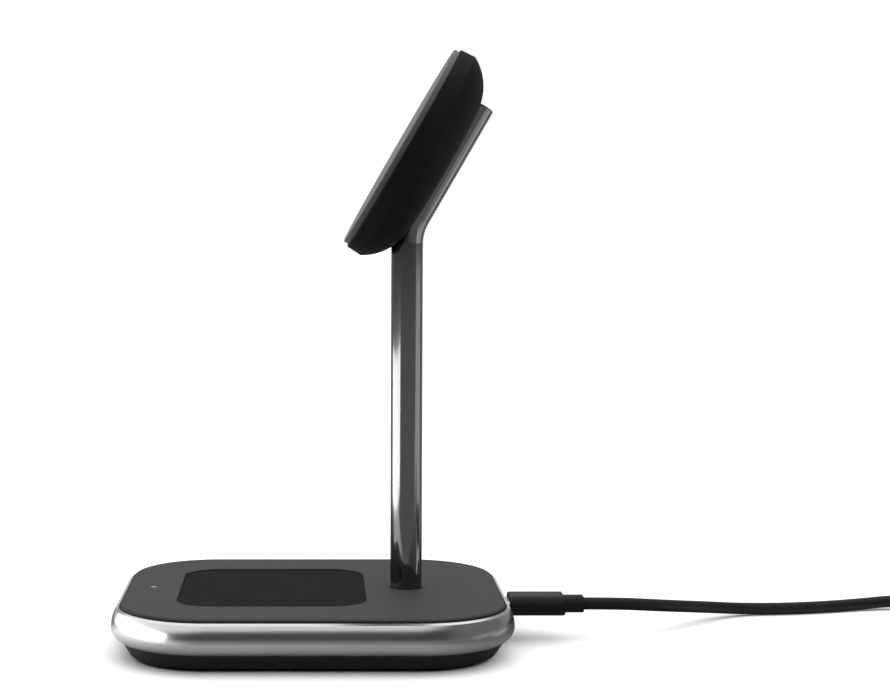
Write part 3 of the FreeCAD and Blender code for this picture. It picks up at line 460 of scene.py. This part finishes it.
# Head shell: the black moulded dome behind the charging face, with the stem let into its back.
# Its soft-touch coat makes it one of the blackest pieces of the station, with only a broad dull sheen.
shell_black = (0.0062, 0.0062, 0.0063, 1.0)
shell_rubbed = (0.015, 0.015, 0.0155, 1.0)
shell_coat, tree, shader = begin_finish("shell_coat")
shader.inputs["Specular IOR Level"].default_value = 0.05
variation = add_grain(tree, shader, scale=5600.0, depth=0.3)
tint = blend(tree, add_wear(tree, amount=0.5), shell_black, shell_rubbed)
coat(tree, shader, tint, rescale(tree, variation, gives=(0.5, 0.68)))
dress(shell_coat, "head_shell")

# Face plate: the grey silicone disc at the front of the head, bonded to the shell's rim.
# Silicone has a velvety bloom and the finest grain of all the pieces.
face_grey = (0.056, 0.056, 0.0565, 1.0)
face_pale = (0.070, 0.070, 0.0705, 1.0)
face_silicone, tree, shader = begin_finish("face_silicone")
shader.inputs["Specular IOR Level"].default_value = 0.3
shader.inputs["Sheen Weight"].default_value = 0.15
variation = add_grain(tree, shader, scale=6500.0, depth=0.25)
tint = blend(tree, variation, face_grey, face_pale)
coat(tree, shader, tint, rescale(tree, variation, gives=(0.6, 0.78)))
dress(face_silicone, "face_plate")

# Plugs: black moulded bodies with their strain reliefs, one in the base and one at the cord's far end.
# The moulding is satin, with a fine texture and rubbed corners.
plug_black = (0.0050, 0.0050, 0.0052, 1.0)
plug_rubbed = (0.020, 0.020, 0.0205, 1.0)
plug_moulding, tree, shader = begin_finish("plug_moulding")
shader.inputs["Specular IOR Level"].default_value = 0.14
variation = add_grain(tree, shader, scale=4800.0, depth=0.3)
tint = blend(tree, add_wear(tree, amount=0.6), plug_black, plug_rubbed)
coat(tree, shader, tint, rescale(tree, variation, gives=(0.36, 0.52)))
dress(plug_moulding, "plug_body", "plug_relief", "far_plug_body", "far_plug_relief")

# Plug shells and socket: deep-drawn steel with bright nickel, the socket's one soldered to the board.
# Sliding in and out leaves fine scuffs on them.
nickel_dark = (0.52, 0.51, 0.49, 1.0)
nickel_pale = (0.66, 0.65, 0.63, 1.0)
nickel, tree, shader = begin_finish("nickel_plate")
shader.inputs["Metallic"].default_value = 1.0
place = tree.nodes.new("ShaderNodeTexCoord").outputs["Object"]
scuffs = mottle(tree, place, scale=1800.0, detail=4.0)
tint = blend(tree, scuffs, nickel_dark, nickel_pale)
coat(tree, shader, tint, rescale(tree, scuffs, gives=(0.16, 0.36)))
dress(nickel, "plug_shell", "far_plug_shell", "port_shell")

# Pieces inside the base and the head: boards, chips, copper windings, ferrite, magnets, steel hardware.
# Nothing shows them while the station is closed; each kind still has its own mottled finish.
# Each row holds the dark tint, the pale tint, how metallic it is, its roughness and its pieces.
roughness_spread = 0.1
inner_finishes = {
    "board_mask": (
        (0.010, 0.055, 0.028, 1.0), (0.020, 0.090, 0.046, 1.0), 0.0, 0.42,
        ("main_board", "head_board"),
    ),
    "copper_winding": (
        (0.45, 0.17, 0.08, 1.0), (0.62, 0.28, 0.14, 1.0), 1.0, 0.32,
        ("spot_coil", "head_coil"),
    ),
    "sintered_core": (
        (0.030, 0.030, 0.033, 1.0), (0.060, 0.060, 0.064, 1.0), 0.4, 0.55,
        ("spot_ferrite", "head_ferrite", "magnets"),
    ),
    "zinc_steel": (
        (0.38, 0.38, 0.39, 1.0), (0.55, 0.55, 0.56, 1.0), 1.0, 0.34,
        ("ballast_plate", "stem_socket", "case_screws", "socket_screws", "board_screws", "head_screws",
         "magnet_yoke"),
    ),
    "moulded_black": (
        (0.012, 0.012, 0.012, 1.0), (0.028, 0.028, 0.028, 1.0), 0.0, 0.5,
        ("controller_chip", "power_inductor", "capacitors", "port_tongue", "lead_plug", "coil_frame",
         "stem_lead"),
    ),
}
for title, (dark, pale, metallic, roughness, members) in inner_finishes.items():
    finish, tree, shader = begin_finish(title)
    shader.inputs["Metallic"].default_value = metallic
    variation = add_grain(tree, shader, scale=3000.0, depth=0.2)
    limits = (roughness - roughness_spread, roughness + roughness_spread)
    coat(tree, shader, blend(tree, variation, dark, pale), rescale(tree, variation, gives=limits))
    dress(finish, *members)

# Studio: a plain pale floor in a white room with soft light from overhead.
# What gloss mirrors is dimmer than what lights the piece: a softbox that leans left, and painted shade on
# the floor for gloss rays only, round the base, darker to the right and behind.
# A low card on the left draws the white strip on the stem.
floor_left = -0.70
floor_right = 4.0
floor_front = -0.12
front_edge_end = 0.19
right_edge_start = -1.7
floor_far = 6.0
floor_corners = [
    (floor_left, floor_front, 0.0),
    (front_edge_end, floor_front, 0.0),
    (floor_right, right_edge_start, 0.0),
    (floor_right, floor_far, 0.0),
    (floor_left, floor_far, 0.0),
]
floor_mesh = bpy.data.meshes.new("floor")
floor_mesh.from_pydata(floor_corners, [], [range(len(floor_corners))])
floor = bpy.data.objects.new("floor", floor_mesh)
bpy.context.scene.collection.objects.link(floor)


def grey(tone):
    return (tone, tone, tone, 1.0)


floor_white = grey(0.90)
right_painted_shade_tone = grey(0.09)
middle_painted_shade_tones = {0.22: grey(0.40), 0.66: grey(0.35)}
rear_painted_shade_tone = grey(0.25)
rear_corner_painted_shade_tone = grey(0.03)
rear_slant = -0.36
floor_paint, tree, shader = begin_finish("floor_paint")
shader.inputs["Roughness"].default_value = 0.6
shader.inputs["Specular IOR Level"].default_value = 0.1
reach = distance_from(tree, (0.0, 0.0, 0.0))
spot = split(tree, tree.nodes.new("ShaderNodeNewGeometry").outputs["Position"])
# Painted shade for gloss rays: near the base the floor runs from white on the left to dark on the right.
sideways = reckon(tree, "ABSOLUTE", spot["X"])
painted_shade_ramp = tree.nodes.new("ShaderNodeValToRGB")
painted_shade_ramp.color_ramp.elements[0].color = floor_white
painted_shade_ramp.color_ramp.elements[1].color = right_painted_shade_tone
for stop, tone in middle_painted_shade_tones.items():
    painted_shade_ramp.color_ramp.elements.new(stop).color = tone
tree.links.new(rescale(tree, spot["X"], reads=(-0.072, 0.08)), painted_shade_ramp.inputs["Fac"])
close_by = rescale(tree, reach, reads=(0.09, 0.50), gives=(1.0, 0.0), smooth=True)
cord_side = rescale(tree, spot["Y"], reads=(-0.034, -0.016), smooth=True)
past_plug = rescale(tree, spot["X"], reads=(0.10, 0.13), smooth=True)
cord_lane = reckon(tree, "MULTIPLY", cord_side, past_plug)
shaded = blend(tree, cord_lane, close_by, 0.0, kind="FLOAT")
near_painted_shade = blend(tree, shaded, floor_white, painted_shade_ramp.outputs["Color"])
# More painted shade for gloss rays: dark behind the base, darkest at its rear corners.
beside = rescale(tree, sideways, reads=(0.045, 0.065))
corner_reach = rescale(tree, reach, reads=(0.22, 0.14))
rear_corners = reckon(tree, "MULTIPLY", beside, corner_reach)
rear_painted_shade = blend(tree, rear_corners, rear_painted_shade_tone, rear_corner_painted_shade_tone)
backwards = reckon(tree, "MULTIPLY_ADD", sideways, rear_slant, spot["Y"])
at_back = rescale(tree, backwards, reads=(-0.03, 0.005), smooth=True)
gloss_painted_shade = blend(tree, at_back, near_painted_shade, rear_painted_shade)
rays = tree.nodes.new("ShaderNodeLightPath").outputs
# Only gloss rays see the painted shade; the camera and diffuse light see the plain white floor.
floor_colour = blend(tree, rays["Is Glossy Ray"], floor_white, gloss_painted_shade)
tree.links.new(floor_colour, shader.inputs["Base Color"])
floor_mesh.materials.append(floor_paint)
overhead_axis = (0.10, 0.0, 0.995)
softbox_axis = (-0.27, 0.0, 0.963)
room = bpy.data.worlds.new("studio")
room.use_nodes = True
bpy.context.scene.world = room
tree = room.node_tree
backdrop = tree.nodes["Background"]
sky = tree.nodes.new("ShaderNodeTexCoord").outputs["Generated"]


def towards(tree, direction, axis):
    lean = tree.nodes.new("ShaderNodeVectorMath")
    lean.operation = "DOT_PRODUCT"
    lean.inputs[1].default_value = axis
    tree.links.new(direction, lean.inputs[0])
    return lean.outputs["Value"]


rays = tree.nodes.new("ShaderNodeLightPath").outputs
overhead = rescale(
    tree, towards(tree, sky, overhead_axis), reads=(0.34, 0.60), gives=(0.0, 2.05), smooth=True
)
softbox = rescale(
    tree, towards(tree, sky, softbox_axis), reads=(0.42, 0.60), gives=(0.0, 1.35), smooth=True
)
brightest = blend(tree, rays["Is Glossy Ray"], overhead, softbox, kind="FLOAT")
bearing = split(tree, sky)
depths = rescale(tree, bearing["Z"], reads=(0.0, -0.05), gives=(0.05, 0.40))
behind = rescale(tree, bearing["Y"], reads=(0.92, 0.98), gives=(0.0, 0.9), smooth=True)
right_wall = rescale(tree, bearing["X"], reads=(0.30, 0.80), gives=(0.0, 0.19), smooth=True)
back_wall = rescale(tree, bearing["Y"], reads=(0.15, 0.60), gives=(0.0, 0.35), smooth=True)
for wall in (depths, behind, right_wall, back_wall):
    brightest = reckon(tree, "MAXIMUM", brightest, wall)
seen = blend(tree, rays["Is Camera Ray"], brightest, 1.0, kind="FLOAT")
tree.links.new(seen, backdrop.inputs["Strength"])
backdrop.inputs["Color"].default_value = grey(1.0)
card_data = bpy.data.lights.new("left_card", "AREA")
card_data.shape = "RECTANGLE"
card_data.size = 0.31
card_data.size_y = 0.059
card_data.energy = 0.30
card = bpy.data.objects.new("left_card", card_data)
card.location = (-0.19, -0.025, 0.0305)
card.rotation_euler = (math.radians(90), 0.0, math.radians(-90))
card.visible_camera = False
card.visible_diffuse = False
bpy.context.scene.collection.objects.link(card)
bpy.context.scene.view_settings.view_transform = "Standard"
